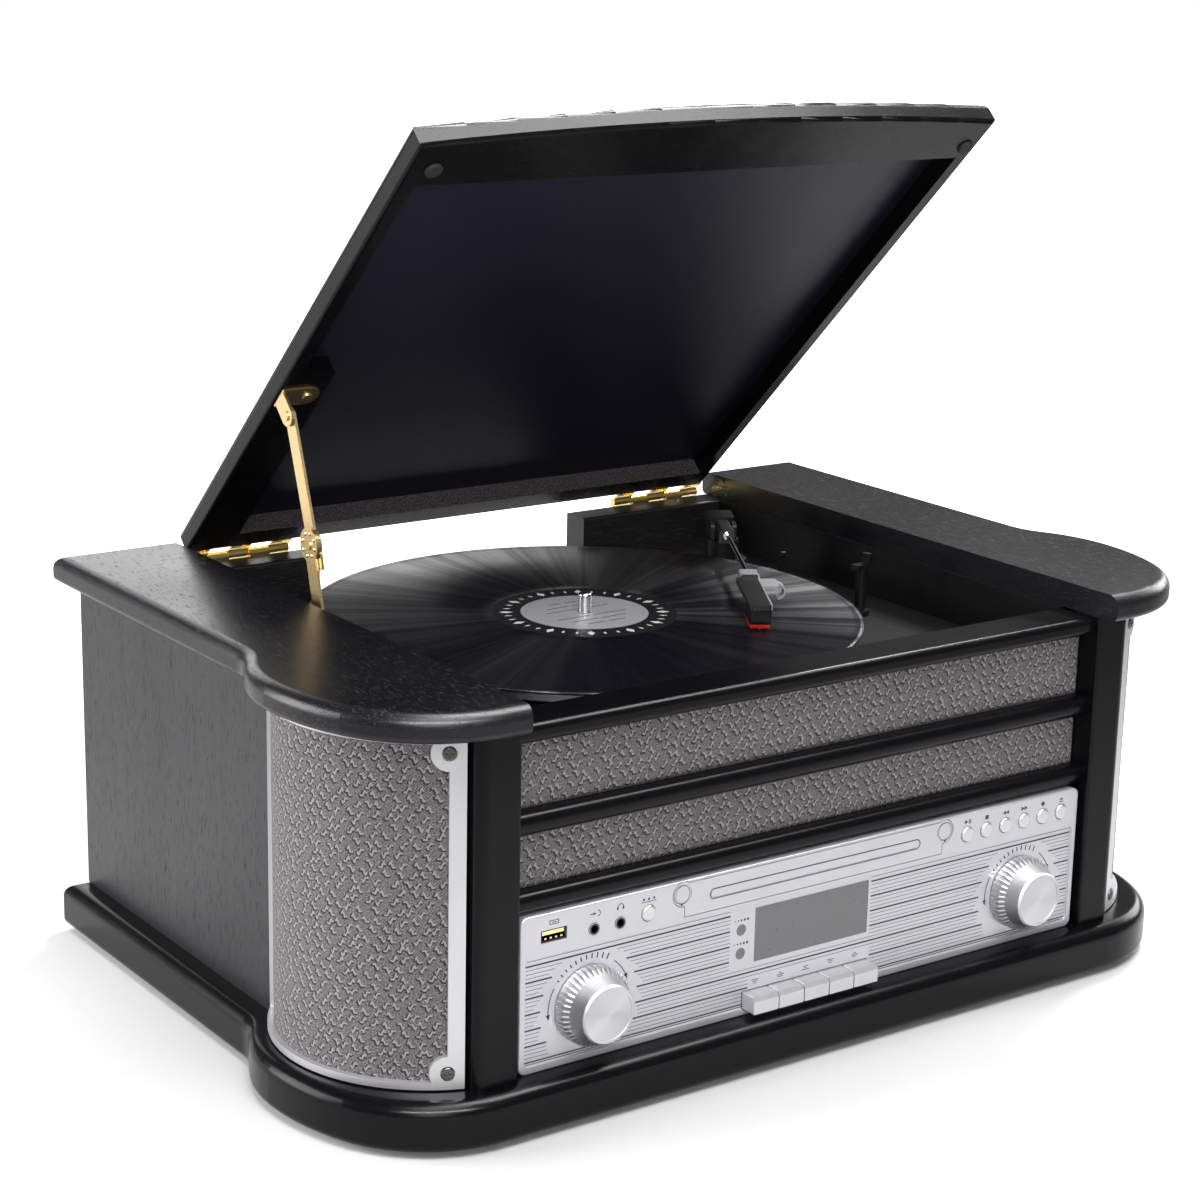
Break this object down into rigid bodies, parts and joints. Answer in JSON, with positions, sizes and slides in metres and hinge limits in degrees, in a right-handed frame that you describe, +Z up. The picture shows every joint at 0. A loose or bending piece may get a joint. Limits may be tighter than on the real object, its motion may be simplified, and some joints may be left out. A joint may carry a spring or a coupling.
{
  "type": "radio phonograph console",
  "caption": "Tabletop wooden radio and record player with a hinged lid on a folding stay, turntable, disc drawer, tuning and volume knobs, keys and curved speaker pods.",
  "frame": {"origin": "on the supporting surface, at the middle of the cabinet's width and depth", "axes": "+X to the listener's right, +Y towards the back, +Z up; the controls face -Y"},
  "size_m": [0.539, 0.3658, 0.4647],
  "materials": {
    "black_wood": "satin black stain over open-pored veneer",
    "silver_plastic": "silver paint, fine satin",
    "silver_trim": "satin silver",
    "grey_cloth": "coarse mottled weave",
    "brass": "polished, slightly toned",
    "spun_aluminium": "spun face",
    "grey_window": "smoked grey",
    "black_plastic": "fine grained",
    "vinyl": "grooved gloss",
    "black_rubber": "matt",
    "steel": "turned",
    "red_plastic": "translucent red",
    "circuit_green": "solder resist",
    "paper_cone": "pressed"
  },
  "bodies": {
    "cabinet": {"plinth": "black_wood", "rubber_feet": "black_rubber", "side_panels": "black_wood", "back_panel": "black_wood", "wing_tops": "black_wood", "front_posts": "black_wood", "front_rails": "black_wood", "front_cloth": "grey_cloth", "fascia_board": "black_wood", "speaker_baffles": "black_wood", "speakers": "paper_cone", "grille_frames": "silver_trim", "grille_cloths": "grey_cloth", "grille_screws": "brass", "control_panel": "silver_plastic", "display_window": "grey_window", "front_sockets": "black_plastic", "main_circuit_board": "circuit_green", "transformer": "steel", "rear_sockets": "black_plastic", "cd_mechanism": "black_plastic", "turntable_deck": "black_plastic", "spindle": "steel", "motor": "steel", "drive_belt": "black_rubber", "arm_rest": "black_plastic", "hinge_cabinet_leaves": "brass", "hinge_pins": "brass"},
    "lid": {"lid_panel": "black_wood", "lid_frame": "black_wood", "lid_bumpers": "black_rubber", "hinge_lid_leaves": "brass", "stay_bracket": "brass"},
    "stay_upper": {"stay_upper_link": "brass"},
    "stay_lower": {"stay_lower_link": "brass"},
    "platter": {"platter": "spun_aluminium", "record": "vinyl"},
    "pulley": {"motor_pulley": "brass"},
    "arm_turret": {"tonearm_base": "black_plastic"},
    "arm": {"tonearm": "black_plastic", "counterweight": "black_plastic", "cartridge": "black_plastic", "stylus": "red_plastic"},
    "cue_lever": {"cue_lever": "black_plastic"},
    "speed_selector": {"speed_selector": "black_plastic"},
    "volume_knob": {"volume_knob": "spun_aluminium"},
    "tuning_knob": {"tuning_knob": "spun_aluminium"},
    "cd_drawer": {"cd_drawer": "silver_plastic"},
    "button_function": {"button_function": "silver_plastic"},
    "button_play": {"button_play": "silver_plastic"},
    "button_stop": {"button_stop": "silver_plastic"},
    "button_back": {"button_back": "silver_plastic"},
    "button_forward": {"button_forward": "silver_plastic"},
    "button_record": {"button_record": "silver_plastic"},
    "button_eject": {"button_eject": "silver_plastic"},
    "key_menu": {"key_menu": "silver_plastic"},
    "key_info": {"key_info": "silver_plastic"},
    "key_scan": {"key_scan": "silver_plastic"},
    "key_preset": {"key_preset": "silver_plastic"},
    "key_enter": {"key_enter": "silver_plastic"}
  },
  "joints": [
    {"name": "lid_hinge", "type": "hinge", "parent": "cabinet", "child": "lid", "pos_m": [0, 0.1797, 0.2016], "axis": [1, 0, 0], "range_deg": [0, 44.7]},
    {"name": "stay_lower_pivot", "type": "hinge", "parent": "cabinet", "child": "stay_lower", "pos_m": [-0.17615, 0.02092, 0.17904], "axis": [1, 0, 0], "range_deg": [0, 103.61]},
    {"name": "stay_upper_pivot", "type": "hinge", "parent": "lid", "child": "stay_upper", "pos_m": [-0.17425, 0.06016, 0.30358], "axis": [1, 0, 0], "range_deg": [-107.29, 0]},
    {"name": "platter_spin", "type": "hinge", "parent": "cabinet", "child": "platter", "pos_m": [-0.02, 0.016, 0.18], "axis": [0, 0, 1], "continuous": true},
    {"name": "pulley_spin", "type": "hinge", "parent": "cabinet", "child": "pulley", "pos_m": [0.042, 0.074, 0.177], "axis": [0, 0, 1], "continuous": true},
    {"name": "tonearm_swing", "type": "hinge", "parent": "cabinet", "child": "arm_turret", "pos_m": [0.1283, 0.0871, 0.18], "axis": [0, 0, 1], "range_deg": [-12.5, 39]},
    {"name": "tonearm_lift", "type": "hinge", "parent": "arm_turret", "child": "arm", "pos_m": [0.1283, 0.0871, 0.202], "axis": [-0.8616, 0.5075, 0], "range_deg": [0, 2]},
    {"name": "cue_lever_turn", "type": "hinge", "parent": "cabinet", "child": "cue_lever", "pos_m": [0.146, 0.057, 0.18], "axis": [0, 1, 0], "range_deg": [0, 24]},
    {"name": "speed_selector_slide", "type": "slide", "parent": "cabinet", "child": "speed_selector", "axis": [1, 0, 0], "range_m": [-0.008, 0.008]},
    {"name": "volume_turn", "type": "hinge", "parent": "cabinet", "child": "volume_knob", "pos_m": [-0.139, -0.165, 0.055], "axis": [0, -1, 0], "continuous": true},
    {"name": "tuning_turn", "type": "hinge", "parent": "cabinet", "child": "tuning_knob", "pos_m": [0.139, -0.165, 0.055], "axis": [0, -1, 0], "continuous": true},
    {"name": "cd_drawer_slide", "type": "slide", "parent": "cabinet", "child": "cd_drawer", "axis": [0, -1, 0], "range_m": [0, 0.112]},
    {"name": "button_function_press", "type": "slide", "parent": "cabinet", "child": "button_function", "axis": [0, 1, 0], "range_m": [0, 0.001], "stiffness_N_per_m": 250, "springref_m": -0.0005},
    {"name": "button_play_press", "type": "slide", "parent": "cabinet", "child": "button_play", "axis": [0, 1, 0], "range_m": [0, 0.001], "stiffness_N_per_m": 250, "springref_m": -0.0005},
    {"name": "button_stop_press", "type": "slide", "parent": "cabinet", "child": "button_stop", "axis": [0, 1, 0], "range_m": [0, 0.001], "stiffness_N_per_m": 250, "springref_m": -0.0005},
    {"name": "button_back_press", "type": "slide", "parent": "cabinet", "child": "button_back", "axis": [0, 1, 0], "range_m": [0, 0.001], "stiffness_N_per_m": 250, "springref_m": -0.0005},
    {"name": "button_forward_press", "type": "slide", "parent": "cabinet", "child": "button_forward", "axis": [0, 1, 0], "range_m": [0, 0.001], "stiffness_N_per_m": 250, "springref_m": -0.0005},
    {"name": "button_record_press", "type": "slide", "parent": "cabinet", "child": "button_record", "axis": [0, 1, 0], "range_m": [0, 0.001], "stiffness_N_per_m": 250, "springref_m": -0.0005},
    {"name": "button_eject_press", "type": "slide", "parent": "cabinet", "child": "button_eject", "axis": [0, 1, 0], "range_m": [0, 0.001], "stiffness_N_per_m": 250, "springref_m": -0.0005},
    {"name": "key_menu_press", "type": "slide", "parent": "cabinet", "child": "key_menu", "axis": [0, 1, 0], "range_m": [0, 0.0015], "stiffness_N_per_m": 250, "springref_m": -0.0005},
    {"name": "key_info_press", "type": "slide", "parent": "cabinet", "child": "key_info", "axis": [0, 1, 0], "range_m": [0, 0.0015], "stiffness_N_per_m": 250, "springref_m": -0.0005},
    {"name": "key_scan_press", "type": "slide", "parent": "cabinet", "child": "key_scan", "axis": [0, 1, 0], "range_m": [0, 0.0015], "stiffness_N_per_m": 250, "springref_m": -0.0005},
    {"name": "key_preset_press", "type": "slide", "parent": "cabinet", "child": "key_preset", "axis": [0, 1, 0], "range_m": [0, 0.0015], "stiffness_N_per_m": 250, "springref_m": -0.0005},
    {"name": "key_enter_press", "type": "slide", "parent": "cabinet", "child": "key_enter", "axis": [0, 1, 0], "range_m": [0, 0.0015], "stiffness_N_per_m": 250, "springref_m": -0.0005}
  ],
  "couplings": [
    {"joint": "stay_lower_pivot", "follows": "lid_hinge", "ratio": 2.3157},
    {"joint": "stay_upper_pivot", "follows": "lid_hinge", "ratio": -2.398},
    {"joint": "pulley_spin", "follows": "platter_spin", "ratio": 11},
    {"joint": "cue_lever_turn", "follows": "tonearm_lift", "ratio": 12}
  ]
}
